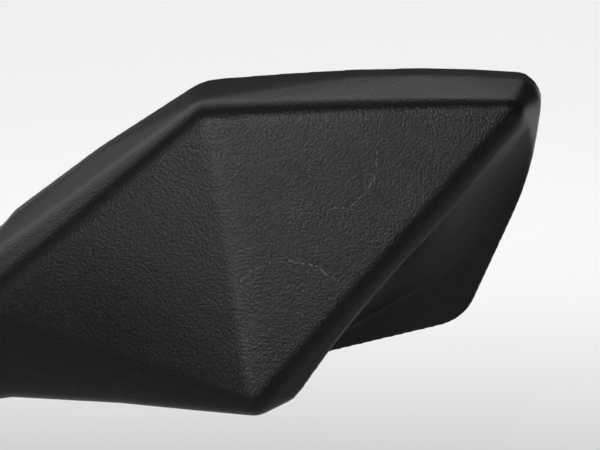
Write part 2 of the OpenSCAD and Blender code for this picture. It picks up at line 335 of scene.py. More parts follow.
# %% [markdown]
# ## The shell of the head
#
# The shell is a gem: a flat rim at the back and five rounded corners in front, with a long hollow
# scooped out of the lower outer side. Stretching a skin over spheres and over the rim gives the
# facets and their rounded ridges in one go, which is what a convex hull does. A chain of balls cuts
# the hollow. A voxel remesh then welds hull, rim and neck into one even skin, and smoothing rounds
# the creases as a mould maker would.

# %% The rim and the round corners
RIM = [
    (101.5, 85.4, 18), (145, 90.2, 500), (178, 91.3, 300), (198.3, 90, 8), (195.3, 62, 90),
    (177.4, 17.4, 15), (128, 2.6, 60), (44, 0, 10), (41.5, 41, 12), (71, 64.3, 120)]
TIP, BROW, KEEL = (189, -7, 84.2, 4.5), (105.5, -6, 77.5, 8), (121, 19.6, 6.6, 5.5)
CHEEK = (50, -7, 25, 16)
BELLY = []
for degrees in range(-16, 17, 4):
    swing, belly_r = math.radians(degrees), 6 + 7 * (degrees + 16) / 32
    BELLY.append((
        48, -33 + (47 - belly_r) * math.cos(swing), 13 + (47 - belly_r) * math.sin(swing), belly_r))
CREST = []
for part in (0.25, 0.5, 0.75):
    x, y, z, radius = [a + (b - a) * part for a, b in zip(BROW, TIP)]
    bow = 4 * part * (1 - part)
    CREST.append((x, y - 0.15 * bow, z + 0.5 * bow, radius))
FRONT = [TIP, BROW, KEEL, CHEEK] + CREST + BELLY
HOLLOW = [Vector(ball) for ball in ((146.5, -5, -23), (163, 4, -11), (190, 18, 23), (221, 12, 67))]
for _ in range(2):
    cuts = [a.lerp(b, part) for a, b in zip(HOLLOW, HOLLOW[1:]) for part in (0.25, 0.75)]
    HOLLOW = [HOLLOW[0]] + cuts + [HOLLOW[-1]]
HOLLOW_R = 36
WALL = 2.4
LEDGE = 1.8
RIM_Y = -24
RIM_WALL = 8
NECK_R = 15.9
# Corners of the flat behind the neck, and which way each moves when the wall is taken off
NECK_FLAT = [(44, 4, 1), (56, 4, 1), (44, 40, -1), (56, 48, -1)]
# Fall of the inner facet, for each mm inwards of the ridge and each square mm below the top
TWIST = 4e-5
TWIST_TOP, TWIST_WIDTH = 50, 40
TWIST_FRONT, TWIST_FRONT_OVER = -14, 20
TWIST_NECK, TWIST_NECK_OVER = 18, 25
print("rim corners:", len(RIM), "front corners:", len(FRONT), "hollow balls:", len(HOLLOW))


def rim_points(bm, inset, back, front):
    """The rim's rounded outline at two depths, each corner spun as an arc."""
    count = len(RIM)
    for depth in (back, front):
        for index, (x, z, radius) in enumerate(RIM):
            corner = Vector((x, z))
            before = (Vector(RIM[index - 1][:2]) - corner).normalized()
            after = (Vector(RIM[(index + 1) % count][:2]) - corner).normalized()
            half = before.angle(after) / 2
            radius = max(radius, inset + 0.5)
            centre = corner + (before + after).normalized() * radius / math.sin(half)
            start = corner + before * radius / math.tan(half)
            start = centre + (start - centre) * (radius - inset) / radius
            first = bm.verts.new(head(start.x, depth, start.y))
            turn = math.pi - 2 * half
            bmesh.ops.spin(
                bm, geom=[first], cent=head(centre.x, depth, centre.y), axis=(0, -1, 0),
                angle=turn, steps=max(2, math.ceil(turn / 0.07)))


def ball_points(bm, corner, shrink):
    """A round corner of the skin."""
    x, y, z, radius = corner
    bmesh.ops.create_icosphere(
        bm, subdivisions=4, radius=(radius - shrink) * MM, matrix=Matrix.Translation(head(x, y, z)))


def hull(bm, name):
    """The skin stretched over everything in the bmesh."""
    bmesh.ops.remove_doubles(bm, verts=bm.verts, dist=0.002 * MM)
    bmesh.ops.delete(bm, geom=bm.edges[:] + bm.faces[:], context="EDGES_FACES")
    bmesh.ops.convex_hull(bm, input=bm.verts, use_existing_faces=False)
    inner = [vert for vert in bm.verts if not vert.link_faces]
    bmesh.ops.delete(bm, geom=inner, context="VERTS")
    return written(bm, name)


# %% The skin, built solid
def hollow_cutter(start, end, radius):
    """One link of the hollow: a capsule between two of its balls."""
    bm = bmesh.new()
    for place_of_ball in (start, end):
        ball_points(bm, (*place_of_ball, radius), 0)
    return hull(bm, "hollow_link")


def head_solid(name, shrink, inset, voxel_mm, rounds):
    """The head's outer skin as one solid, or the space inside it when shrink is the wall."""
    bm = bmesh.new()
    rim_points(bm, inset, RIM_Y - shrink, RIM_Y + RIM_WALL - shrink)
    for corner in FRONT:
        ball_points(bm, corner, shrink)
    solid = hull(bm, name)
    links = [hollow_cutter(a, b, HOLLOW_R + shrink) for a, b in zip(HOLLOW, HOLLOW[1:])]
    combined(solid, "DIFFERENCE", *links)

    neck = bmesh.new()
    ball_points(neck, (0, 0, 0, NECK_R), shrink)
    for corner in [CHEEK] + BELLY:
        ball_points(neck, corner, shrink)
    for x, z, inwards in NECK_FLAT:
        for y in (RIM_Y + 1, RIM_Y + 6):
            neck.verts.new(head(x + inset, y, z + inwards * inset))
    neck = hull(neck, "neck")

    rim = bmesh.new()
    rim_points(rim, inset, RIM_Y - shrink, RIM_Y + RIM_WALL - shrink)
    rim = hull(rim, "rim")

    whole = bmesh.new()
    for part in (solid, neck, rim):
        whole.from_mesh(part.data)
    for part in (neck, rim):
        bpy.data.objects.remove(part)
    whole.to_mesh(solid.data)
    whole.free()
    remesh = solid.modifiers.new("one skin", "REMESH")
    remesh.mode, remesh.voxel_size = "VOXEL", voxel_mm * MM
    smooth = solid.modifiers.new("soft creases", "SMOOTH")
    smooth.factor, smooth.iterations = 0.5, rounds
    applied(solid)
    for vert in solid.data.vertices:
        vert.co.y -= twist(vert.co) * MM
    return solid


def twist(point):
    """How far, in mm, the inner facet falls back below and inwards of the soft ridge."""
    at = (point - BALL) / MM
    x, y, z = -at.x, at.y, at.z
    run_x, run_z = RIDGE_TOP[0] - RIDGE_FOOT[0], RIDGE_TOP[1] - RIDGE_FOOT[1]
    ridge_x = RIDGE_FOOT[0] + (z - RIDGE_FOOT[1]) * run_x / run_z
    inwards = max(0, ridge_x - x)
    below = max(0, TWIST_TOP - z)
    front = min(1, max(0, (y - TWIST_FRONT) / TWIST_FRONT_OVER))
    fade = min(1, max(0, (x - TWIST_NECK) / TWIST_NECK_OVER))
    return TWIST * min(inwards, TWIST_WIDTH) * below ** 2 * front * fade


shell = head_solid("housing_shell", 0, 0, 0.9, 6)
print("skin:", len(shell.data.polygons), "faces")

# %% [markdown]
# The shell is hollowed by taking away a smaller copy of the same form. Round posts are left standing
# in that copy, so that the shell keeps them as bosses for its screws. The mouth at the ball is a
# cone as wide as the head can tilt, and each boss gets the pilot hole of its screw.

# %% Screw places and the shell's inside
GLASS_R, GLASS_T, GLASS_Y, GLASS_INSET = 1200, 2.2, -23.6, 3.6
GLASS_CENTRE = (122, 46)
PLATE_GAP, BRACKET_T, CLAMP_T = 1, 3, 2.5
BRACKET_SCREWS = [(34, 20), (46, 9), (60, 22)]
CLAMP_SCREWS = [(13.5, 11.3), (18.5, -2)]
CARRIER_SCREWS = [(107, 68), (178, 74), (137, 28), (82, 17)]
TAPPING_GRIP = 4
PAD_AND_CARRIER_T = 3
BOSS_R, BOSS_GAP, BOSS_LENGTH = 3.6, 0.3, 50
PILOT_R, PILOT_SPARE = 1.45, 1.5
SEAT_DEPTH = 5.5
MOUTH_FROM, MOUTH_TO = 4, 30
FORWARDS = Vector((0, 1, 0)).to_track_quat("Z", "X").to_matrix().to_4x4()


def sag(radius):
    """How far the ball that the glass is cut from falls away at a radius."""
    return GLASS_R - math.sqrt(GLASS_R ** 2 - radius ** 2)


def carrier_back(x, z):
    """Front face of the glass's carrier at a place in the head."""
    return GLASS_Y + GLASS_T + PAD_AND_CARRIER_T + sag(math.dist((x, z), GLASS_CENTRE))


def at_screw(x, z, y):
    """Z forwards from a place in the head."""
    return Matrix.Translation(head(x, y, z)) @ FORWARDS


def pin(radius, length, matrix):
    """A plain cylinder to cut with."""
    return written(turned([(0, 0), (radius, 0), (radius, length), (0, length)], matrix, 48), "pin")


cavity = head_solid("cavity", WALL, WALL + LEDGE, 1.6, 2)
foots = [(x, z, PLATE_GAP + BRACKET_T) for x, z in BRACKET_SCREWS]
foots += [(x, z, carrier_back(x, z) + BOSS_GAP) for x, z in CARRIER_SCREWS]
combined(cavity, "DIFFERENCE", *[pin(BOSS_R, BOSS_LENGTH, at_screw(*foot)) for foot in foots])
recess = bmesh.new()
rim_points(recess, WALL, RIM_Y - 1, RIM_Y + SEAT_DEPTH)
mouth = written(turned([
    (0, MOUTH_FROM), (MOUTH_FROM, MOUTH_FROM), (MOUTH_TO, MOUTH_TO), (0, MOUTH_TO)], AT_BALL), "mouth")
combined(shell, "DIFFERENCE", cavity, hull(recess, "recess"), mouth)
combined(shell, "DIFFERENCE", *[
    pin(PILOT_R, TAPPING_GRIP + PILOT_SPARE, at_screw(x, z, y - 1)) for x, z, y in foots])
shell = written(reshaped(shell), "housing_shell", 40)
finished(shell, "head", "grained_plastic", grained_plastic, "housing")

# %% [markdown]
# ## The glass and its frame
#
# The glass is cut from a big hollow ball 1.2 m in radius, so that it shows a wide view in a small
# head. Cutting a thin curved disc with the outline of the rim gives the same result as the glass
# cutter gets. The silver is on the back, but a polished metal front looks the same and needs no
# second surface. Faint smears keep the mirror from looking like a computed one.


# %% Rounded edges and plates
def softened(bm, width_mm, segments=2, over=30):
    """Rounds every edge that is sharper than the angle in degrees."""
    bmesh.ops.recalc_face_normals(bm, faces=bm.faces)
    sharp = [edge for edge in bm.edges if edge.calc_face_angle(0) > math.radians(over)]
    bmesh.ops.bevel(
        bm, geom=sharp, offset=width_mm * MM, segments=segments, profile=0.5, affect="EDGES",
        clamp_overlap=True, material=-1)
    return bm


def rim_plate(name, inset, back, front):
    """A plate with the rim's outline, moved in by the inset."""
    bm = bmesh.new()
    rim_points(bm, inset, back, front)
    return hull(bm, name)


# %% Silvered glass
DISC_R, DISC_STEPS = 100, 40
mirror_glass = shaded("mirror_glass", 0.02, metallic=1.0, Coat_Weight=0.4, Coat_Roughness=0.02)
smears = noise(mirror_glass, 35, detail=5, roughness=0.65)
into(mirror_glass, "Roughness", between(mirror_glass, smears, 0.008, 0.05, 0.35, 0.75))
into(mirror_glass, "Base Color", tones(
    mirror_glass, smears, (0.83, 0.86, 0.88), (0.88, 0.90, 0.91)))

rings = [DISC_R * step / DISC_STEPS for step in range(DISC_STEPS + 1)]
disc_profile = [(r, sag(r)) for r in rings] + [(r, sag(r) + GLASS_T) for r in reversed(rings)]
at_glass = Matrix.Translation(head(GLASS_CENTRE[0], GLASS_Y, GLASS_CENTRE[1])) @ FORWARDS
glass = written(turned(disc_profile, at_glass, 128), "mirror_glass_plate")
combined(glass, "INTERSECT", rim_plate("cutter", GLASS_INSET, RIM_Y, RIM_Y + 14))
glass = written(reshaped(glass), "mirror_glass_plate", 25)
finished(glass, "head", "mirror_glass", mirror_glass, "glass")

# %% [markdown]
# ## Rubber of three kinds
#
# The gasket round the glass, the dome that seals the ball's mouth and the bell at the foot are black
# rubber, but not the same: the moulded bell is greyer and has a bloom in its folds. One recipe makes
# all three, with a cloudy tone for the bloom and a fine tooth that breaks the highlights.


# %% Rubber
def rubber(name, dark, light, low, high, tooth_mm):
    """Black rubber with a cloudy bloom and a fine tooth."""
    material = shaded(name, 0.6, Sheen_Weight=0.15, Sheen_Roughness=0.4)
    cloud = noise(material, 9, detail=4)
    into(material, "Base Color", tones(material, cloud, dark, light))
    into(material, "Roughness", between(material, cloud, low, high, 0.3, 0.7))
    bumped(material, noise(material, tooth_mm, detail=2), 0.04, 0.6)
    return material


seal_rubber = rubber("seal_rubber", (0.008, 0.008, 0.009), (0.015, 0.015, 0.016), 0.5, 0.66, 0.5)
boot_rubber = rubber("boot_rubber", (0.014, 0.014, 0.015), (0.026, 0.026, 0.027), 0.46, 0.64, 0.7)
print("rubber ready")

# %% Gasket round the glass
gasket = rim_plate("glass_gasket_frame", WALL + 0.1, RIM_Y + 0.8, RIM_Y + SEAT_DEPTH)
combined(gasket, "DIFFERENCE", rim_plate("cutter", GLASS_INSET, RIM_Y, RIM_Y + 7))
gasket = written(softened(reshaped(gasket), 0.3), "glass_gasket_frame", 50)
finished(gasket, "head", "seal_rubber", seal_rubber, "glass_gasket")

# %% [markdown]
# ## Metals
#
# Small fasteners are zinc plated, which gives a bluish bright metal with faint yellow patches. The
# pressed plates and springs are plainer steel with a drawn grain in one direction, and the ball is
# ground and nearly bright. The rod has a black coat with a slight orange skin.


# %% Metals
def steel(name, dark, light, low, high, patch_mm, stretch=(1, 1, 1), tooth=0.02):
    """Metal whose tone and gloss drift together; a stretch gives it a drawn grain."""
    material = shaded(name, 0.3, metallic=1.0)
    drawn = node(material, "Mapping", {"Vector": place(material), "Scale": stretch})
    patch = node(material, "TexNoise", {
        "Vector": drawn, "Scale": 1 / (patch_mm * MM), "Detail": 4.0, "Roughness": 0.6})
    into(material, "Base Color", tones(material, patch, dark, light))
    into(material, "Roughness", between(material, patch, low, high, 0.3, 0.7))
    bumped(material, patch, tooth, 0.5)
    return material


zinc_steel = steel("zinc_steel", (0.56, 0.58, 0.62), (0.70, 0.70, 0.66), 0.22, 0.38, 3)
adapter_steel = steel("adapter_steel", (0.50, 0.51, 0.53), (0.63, 0.63, 0.62), 0.26, 0.42, 4)
spring_steel = steel("spring_steel", (0.40, 0.41, 0.42), (0.55, 0.55, 0.56), 0.20, 0.34, 1.5)
pressed_steel = steel(
    "pressed_steel", (0.42, 0.43, 0.45), (0.56, 0.57, 0.58), 0.30, 0.48, 1.2, (0.08, 1, 1))
ball_steel = steel("ball_steel", (0.62, 0.63, 0.64), (0.72, 0.72, 0.73), 0.08, 0.16, 2)
coat = shaded("black_coated_steel", 0.35, Coat_Weight=0.35, Coat_Roughness=0.2)
haze = noise(coat, 12)
into(coat, "Base Color", tones(coat, haze, (0.008, 0.008, 0.009), (0.013, 0.013, 0.014)))
into(coat, "Roughness", between(coat, haze, 0.30, 0.42, 0.3, 0.7))
bumped(coat, noise(coat, 1.6, detail=2), 0.04, 0.7)
print("metals ready")

# %% [markdown]
# ## The bent stem
#
# A rod bender works on one straight bar, and so does this cell: a ring of edges is pushed along the
# bar, spun round the bender's roll and pushed on to the ball. Each step down in thickness is a ring
# that is scaled instead of moved. The foot is turned a little thinner, to run in the adapter's bore.


# %% Stem
ROD_R, SHANK_R, PIN_R = 5, 4.95, 3.75
BEND_R, RISE, REACH = 32, 64, 80
HEX_TOP, SHANK_FOOT, SHOULDER, PIN_END = 20, 6, 17, 7
FOOT_BEVEL, SHOULDER_BEVEL, END_BEVEL = 0.8, 0.6, 0.5


def pushed(bm, ring, matrix):
    """Extrudes a ring of edges and places the new ring by the matrix."""
    made = bmesh.ops.extrude_edge_only(bm, edges=ring)["geom"]
    fresh = {part for part in made if isinstance(part, bmesh.types.BMVert)}
    bmesh.ops.transform(bm, matrix=matrix, verts=list(fresh))
    edges = [part for part in made if isinstance(part, bmesh.types.BMEdge)]
    return [edge for edge in edges if set(edge.verts) <= fresh]


def grown(axis_point, factor):
    """Scales a ring about a point on the rod's axis."""
    move = Matrix.Translation(axis_point)
    return move @ Matrix.Scale(factor, 4) @ move.inverted()


bm = bmesh.new()
foot = Vector((0, 0, SHANK_FOOT * MM))
bmesh.ops.create_circle(
    bm, cap_ends=True, radius=(SHANK_R - FOOT_BEVEL) * MM, segments=64, matrix=Matrix.Translation(foot))
ring = bm.edges[:]
up = Matrix.Translation
ring = pushed(
    bm, ring, up((0, 0, FOOT_BEVEL * MM)) @ grown(foot, SHANK_R / (SHANK_R - FOOT_BEVEL)))
ring = pushed(bm, ring, up((0, 0, (HEX_TOP - SHANK_FOOT - FOOT_BEVEL) * MM)))
ring = pushed(bm, ring, grown(Vector((0, 0, HEX_TOP * MM)), ROD_R / SHANK_R))
ring = pushed(bm, ring, up((0, 0, (RISE - HEX_TOP) * MM)))
ends = {vert for edge in ring for vert in edge.verts}
bent = bmesh.ops.spin(
    bm, geom=list(ends) + ring, cent=(-BEND_R * MM, 0, RISE * MM), axis=(0, -1, 0),
    angle=BEND_ANGLE, steps=24)["geom_last"]
ring = [part for part in bent if isinstance(part, bmesh.types.BMEdge)]
ring = pushed(bm, ring, up(-ROD_DOWN * (REACH - SHOULDER - SHOULDER_BEVEL) * MM))
at_shoulder = BALL + ROD_DOWN * (SHOULDER + SHOULDER_BEVEL) * MM
narrower = grown(at_shoulder, (ROD_R - SHOULDER_BEVEL) / ROD_R)
ring = pushed(bm, ring, up(-ROD_DOWN * SHOULDER_BEVEL * MM) @ narrower)
at_shoulder = BALL + ROD_DOWN * SHOULDER * MM
ring = pushed(bm, ring, grown(at_shoulder, PIN_R / (ROD_R - SHOULDER_BEVEL)))
ring = pushed(bm, ring, up(-ROD_DOWN * (SHOULDER + PIN_END - END_BEVEL) * MM))
at_end = BALL - ROD_DOWN * (PIN_END - END_BEVEL) * MM
narrower = grown(at_end, (PIN_R - END_BEVEL) / PIN_R)
ring = pushed(bm, ring, up(-ROD_DOWN * END_BEVEL * MM) @ narrower)
bmesh.ops.contextual_create(bm, geom=ring)
finished(written(bm, "bent_stem", 30), "stem", "black_coated_steel", coat, "stem")

# %% [markdown]
# ## Ball and seal
#
# The ball is a bored bearing ball pressed onto the stem's pin. Round it, inside the head's mouth,
# sits a rubber dome on a short collar, held by a ring of spring wire in a groove. All three are
# turned shapes, drawn as half a section along the rod and spun round it.


# %% Ball, dome and ring on the rod
def arc(radius, first, last, steps):
    """Points [radius, height] on a circle, by the angle from the axis in degrees."""
    angles = [math.radians(first + (last - first) * step / steps) for step in range(steps + 1)]
    return [(radius * math.sin(angle), radius * math.cos(angle)) for angle in angles]


def fat_ring(section_mm, radius_mm, height_mm, matrix=None, turn=360):
    """A ring of round wire, open by what the turn leaves out."""
    bm = bmesh.new()
    lying = Matrix.Rotation(math.pi / 2, 4, "X")
    at = Matrix.Translation((radius_mm * MM, 0, height_mm * MM)) @ lying
    bmesh.ops.create_circle(bm, cap_ends=turn < 360, radius=section_mm * MM, segments=20, matrix=at)
    bmesh.ops.spin(
        bm, geom=bm.verts[:] + bm.edges[:] + bm.faces[:], cent=(0, 0, 0), axis=(0, 0, 1),
        angle=math.radians(turn), steps=96, use_merge=turn == 360)
    bmesh.ops.transform(bm, matrix=matrix or Matrix(), verts=bm.verts)
    return bm


BALL_R = 8
bore_angle = math.degrees(math.asin(PIN_R / BALL_R))
ball = turned(arc(BALL_R, bore_angle, 180 - bore_angle, 48), AT_BALL)
finished(written(ball, "bored_ball"), "stem", "ball_steel", ball_steel, "pivot_ball")

COLLAR_R, DOME_IN, DOME_OUT, DOME_REACH, SEAL_RING_AT = 4.5, 11.9, 13.1, 69, 15.3
dome_profile = (
    [(PIN_R + 0.02, SHOULDER)] + arc(DOME_IN, 18.5, DOME_REACH - 0.5, 24)
    + arc(DOME_OUT, DOME_REACH, 21.5, 24)
    + [(COLLAR_R + 0.15, 12.7), (COLLAR_R, 13.2), (COLLAR_R, SEAL_RING_AT - 0.6),
       (COLLAR_R - 0.5, SEAL_RING_AT - 0.3), (COLLAR_R - 0.5, SEAL_RING_AT + 0.3),
       (COLLAR_R, SEAL_RING_AT + 0.6), (COLLAR_R, SHOULDER - 0.3), (COLLAR_R - 0.3, SHOULDER)])
dome = softened(turned(dome_profile, AT_BALL), 0.2, over=50)
finished(written(dome, "seal_dome_rubber", 50), "stem", "seal_rubber", seal_rubber, "seal_dome")
ring = fat_ring(0.55, COLLAR_R, SEAL_RING_AT, AT_BALL)
finished(written(ring, "seal_ring_wire"), "stem", "spring_steel", spring_steel, "seal_ring")

# %% [markdown]
# ## The bell at the foot
#
# The bell keeps rain out of the swivel. It is a thin skin that flows from a wide bead at the foot to
# a tight neck, with two shallow pleats where it bends when the stem swivels. A wire ring sits in a
# groove in the neck. The skin is one closed section, spun, so it is hollow like the real one.

# %% Bell and its ring
BOOT_FOOT, BOOT_DRAW, BOOT_TOP, FOOT_R, NECK_OUT, BOOT_WALL = 3, 40, 46, 12.5, 6.6, 1.6
PLEATS, PLEAT_DEPTH, PLEAT_WIDTH = (30.5, 34.5), 0.55, 0.8
BEAD_LINE, BEAD_LINE_DEPTH = (5.2, 5.9), 0.35
RING_Z, RING_R = 43, 0.8
BELL_STEPS = 74


def bell(z):
    """Outer radius of the bell at a height, with its pleats pressed in."""
    along = min(1, (z - BOOT_FOOT) / (BOOT_DRAW - BOOT_FOOT))
    radius = NECK_OUT + (FOOT_R - NECK_OUT) * (1 + math.cos(math.pi * along ** 2.2)) / 2
    return radius - sum(
        PLEAT_DEPTH * math.exp(-((z - pleat) / PLEAT_WIDTH) ** 2) for pleat in PLEATS)


heights = [
    BOOT_FOOT + (BOOT_DRAW - BOOT_FOOT) * step / BELL_STEPS for step in range(BELL_STEPS + 1)]
outside = [
    (bell(z) - (BEAD_LINE_DEPTH if BEAD_LINE[0] < z < BEAD_LINE[1] else 0), z) for z in heights]
around = [math.radians(degrees) for degrees in range(-90, -271, -20)]
groove = [(NECK_OUT + RING_R * math.cos(at), RING_Z + RING_R * math.sin(at)) for at in around]
neck = [(NECK_OUT, RING_Z - RING_R - 0.3)] + groove
neck += [(NECK_OUT, BOOT_TOP - 0.5), (NECK_OUT - 0.5, BOOT_TOP)]
inside = [(bell(z) - BOOT_WALL, z) for z in reversed(heights)]
bell_bm = turned(outside + neck + [(ROD_R + 0.05, BOOT_TOP)] + inside)
finished(written(bell_bm, "boot_bell", 50), "stem", "boot_rubber", boot_rubber, "dust_boot")
wire = fat_ring(RING_R - 0.05, NECK_OUT, RING_Z, turn=350)
finished(written(wire, "boot_ring_wire"), "stem", "spring_steel", spring_steel, "boot_ring")

# %% [markdown]
# ## Nuts, threads and the adapter
#
# A real nut is a slice of hexagonal bar whose corners were turned off at thirty degrees. The same is
# done here: a hexagonal prism is crossed with a turned double cone. A thread is one ridge wound up
# the stud: a small section is spun many times round while it climbs one pitch a turn.


# %% Helpers for fasteners
def hexagon(flats, low, high, matrix=None, chamfer=True):
    """A slice of hexagonal bar in mm, its corners turned off at both ends or left square below."""
    corner = flats / 2 / math.cos(math.pi / 6)
    bm = bmesh.new()
    bmesh.ops.create_cone(
        bm, cap_ends=True, segments=6, radius1=corner * MM, radius2=corner * MM,
        depth=(high - low) * MM, matrix=Matrix.Translation((0, 0, (low + high) / 2 * MM)))
    bar = written(bm, "hexagonal_bar")
    face = flats / 2 * 0.96
    clear = corner + 0.1
    drop = (corner - face) * math.tan(math.radians(30))
    side = [(face, low), (clear, low + drop + 0.06)] if chamfer else [(clear, low)]
    cone = turned(
        [(0, low)] + side + [(clear, high - drop - 0.06), (face, high), (0, high)])
    combined(bar, "INTERSECT", written(cone, "turned_blank"))
    bm = reshaped(bar)
    bmesh.ops.transform(bm, matrix=matrix or Matrix(), verts=bm.verts)
    return bm


def ridge(root, crest, pitch, low, high, matrix=None, steps=36):
    """The ridge of a screw thread as one closed coil."""
    bm = bmesh.new()
    half, flat = pitch * 0.46, pitch * 0.07
    section = [(root, -half), (crest, -flat), (crest, flat), (root, half)]
    row = [bm.verts.new((radius * MM, 0, (low + half + z) * MM)) for radius, z in section]
    bm.faces.new(row)
    turns = (high - low - 2 * half) / pitch
    count = int(steps * turns)
    bmesh.ops.spin(
        bm, geom=bm.faces[:] + bm.edges[:] + bm.verts[:], cent=(0, 0, 0), axis=(0, 0, 1),
        angle=2 * math.pi * turns, steps=count, dvec=(0, 0, pitch * turns / count * MM))
    bmesh.ops.transform(bm, matrix=matrix or Matrix(), verts=bm.verts)
    return bm


def joined(bm, *others):
    """Adds other bmeshes to the first, each as its own closed shell."""
    for other in others:
        mesh = bpy.data.meshes.new("joined")
        other.to_mesh(mesh)
        other.free()
        bm.from_mesh(mesh)
        bpy.data.meshes.remove(mesh)
    return bm


# %% Lock nut and wave washer
HEX, NUT_Z, NUT_H, NUT_FLARE = 14, 21.4, 6, 1.4
WASHER_IN, WASHER_OUT, WASHER_FOOT, WASHER_TOP = 5.35, 7.9, 20.35, 20.85
WAVES, WAVE_HEIGHT = 3, 0.32
nut = written(hexagon(HEX, NUT_Z, NUT_Z + NUT_H), "stem_lock_nut")
bore = turned([
    (0, NUT_Z - 1), (ROD_R + NUT_FLARE, NUT_Z - 1), (ROD_R + 0.02, NUT_Z + 0.6),
    (ROD_R + 0.02, NUT_Z + NUT_H - 0.6), (ROD_R + NUT_FLARE, NUT_Z + NUT_H + 1),
    (0, NUT_Z + NUT_H + 1)], steps=64)
combined(nut, "DIFFERENCE", written(bore, "bore"))
finished(written(reshaped(nut), "stem_lock_nut", 25), "stem", "zinc_steel", zinc_steel, "lock_nut")

washer = turned([
    (WASHER_IN, WASHER_FOOT), (WASHER_OUT, WASHER_FOOT), (WASHER_OUT, WASHER_TOP),
    (WASHER_IN, WASHER_TOP)])
for vert in washer.verts:
    vert.co.z += WAVE_HEIGHT * MM * math.sin(WAVES * math.atan2(vert.co.y, vert.co.x))
finished(written(softened(washer, 0.1), "wave_washer_ring", 50), "base", "spring_steel",
         spring_steel, "wave_washer")

# %% Adapter with its stud
STUD_R, STUD_LENGTH, STUD_PITCH, FLANGE_R, FLANGE_T, BORE_FOOT = 5, 20, 1.25, 9, 2, 5
CORE_R = STUD_R - 0.68
adapter = written(hexagon(HEX, FLANGE_T / 2, HEX_TOP, chamfer=False), "threaded_adapter")
flange = turned([
    (0, -STUD_LENGTH), (CORE_R - 0.6, -STUD_LENGTH), (CORE_R, -STUD_LENGTH + 0.6), (CORE_R, -1.6),
    (CORE_R - 0.3, -1.3), (CORE_R - 0.3, 0), (FLANGE_R - 0.3, 0), (FLANGE_R, 0.3),
    (FLANGE_R, FLANGE_T - 0.3), (FLANGE_R - 0.3, FLANGE_T), (0, FLANGE_T)])
combined(adapter, "UNION", written(flange, "flange"))
bore = turned([
    (0, BORE_FOOT), (ROD_R, BORE_FOOT), (ROD_R, HEX_TOP - 0.5), (ROD_R + 0.5, HEX_TOP),
    (ROD_R + 0.5, HEX_TOP + 1), (0, HEX_TOP + 1)], steps=64)
combined(adapter, "DIFFERENCE", written(bore, "bore"))
adapter = joined(
    reshaped(adapter), ridge(CORE_R - 0.1, STUD_R - 0.02, STUD_PITCH, -STUD_LENGTH + 0.5, -1.7))
finished(written(adapter, "threaded_adapter", 25), "base", "adapter_steel", adapter_steel, "adapter")

# %% [markdown]
# ## Screws, springs and nuts inside the head
#
# Two long screws squeeze the pressed plates onto the ball through coil springs, so the grip stays
# even as the liner wears. The other screws cut their own thread in the shell's bosses, and those in
# the carrier are sunk flush. Every screw is a turned body with a cross pressed into its head and a
# ridge wound round its shaft.

# %% Screws
SPRING_H, SPRING_R, WIRE_R, SPRING_TURNS = 5, 3.2, 0.45, 3.5
SCREW_R, SCREW_PITCH, PAN_H, SUNK_H, SUNK_DEPTH, CARRIER_HOLD = 1.4, 1.1, 2.2, 1.3, 1.8, 2
CLAMP_SCREW_R, CLAMP_PITCH, CLAMP_HEAD_H, CLAMP_SPARE = 2, 0.7, 2.8, 1.5
SMALL_HEX, SMALL_NUT_H, SMALL_BORE_R, SMALL_FLARE_R = 7, 3.2, 2.02, 2.6


def cross_recess(depth, across):
    """The two crossed bars that press the driver's recess into a head."""
    bars = []
    for turn in (0, math.pi / 2):
        bm = bmesh.new()
        size = Matrix.Diagonal((across * MM, across * 0.22 * MM, 2 * depth * MM, 1))
        bmesh.ops.create_cube(bm, size=1, matrix=Matrix.Rotation(turn, 4, "Z") @ size)
        bars.append(written(bm, "recess"))
    return bars


def screw(name, head_profile, shaft_r, shaft_end, pitch, recess_depth, across, matrix):
    """A screw whose head starts at Z 0 and whose shaft ends in a point or a chamfer."""
    head_h, core = head_profile[-1][1], shaft_r - 0.3
    shaft = [(core, head_h), (core, shaft_end - 1), (0.5, shaft_end), (0, shaft_end)]
    body = written(turned([(0, 0)] + head_profile + shaft, steps=48), name)
    combined(body, "DIFFERENCE", *cross_recess(recess_depth, across))
    thread = ridge(
        shaft_r - 0.35, shaft_r - 0.02, pitch, head_h + 0.3, shaft_end - 0.9, steps=24)
    bm = joined(reshaped(body), thread)
    bmesh.ops.transform(bm, matrix=matrix, verts=bm.verts)
    return bm


def set_of(name, slot, material, cad_node, bms):
    """Several copies of one fastener as one piece."""
    piece = written(joined(*bms), name, 28)
    return finished(piece, "head", slot, material, cad_node)


pan_head = [(2.2, 0), (2.9, 0.3), (3.2, 0.9), (3.2, PAN_H)]
set_of("bracket_screw_set", "zinc_steel", zinc_steel, "bracket_screws", [
    screw("screw", pan_head, SCREW_R, PAN_H + BRACKET_T + TAPPING_GRIP, SCREW_PITCH, 1.2, 3.4,
          at_screw(x, z, PLATE_GAP - PAN_H)) for x, z in BRACKET_SCREWS])
sunk_head = [(2.5, 0), (SCREW_R, SUNK_H)]
set_of("carrier_screw_set", "zinc_steel", zinc_steel, "carrier_screws", [
    screw("screw", sunk_head, SCREW_R, CARRIER_HOLD + TAPPING_GRIP, SCREW_PITCH, 0.8, 2.6,
          at_screw(x, z, carrier_back(x, z) - SUNK_DEPTH)) for x, z in CARRIER_SCREWS])
clamp_head = [(2.6, 0), (3.3, 0.4), (3.5, 1.0), (3.5, CLAMP_HEAD_H)]
stack = SPRING_H + 2 * PLATE_GAP + CLAMP_T + BRACKET_T
set_of("clamp_screw_set", "zinc_steel", zinc_steel, "clamp_screws", [
    screw("screw", clamp_head, CLAMP_SCREW_R, CLAMP_HEAD_H + stack + SMALL_NUT_H + CLAMP_SPARE,
          CLAMP_PITCH, 1.6, 4, at_screw(x, z, -PLATE_GAP - CLAMP_T - SPRING_H - CLAMP_HEAD_H))
    for x, z in CLAMP_SCREWS])


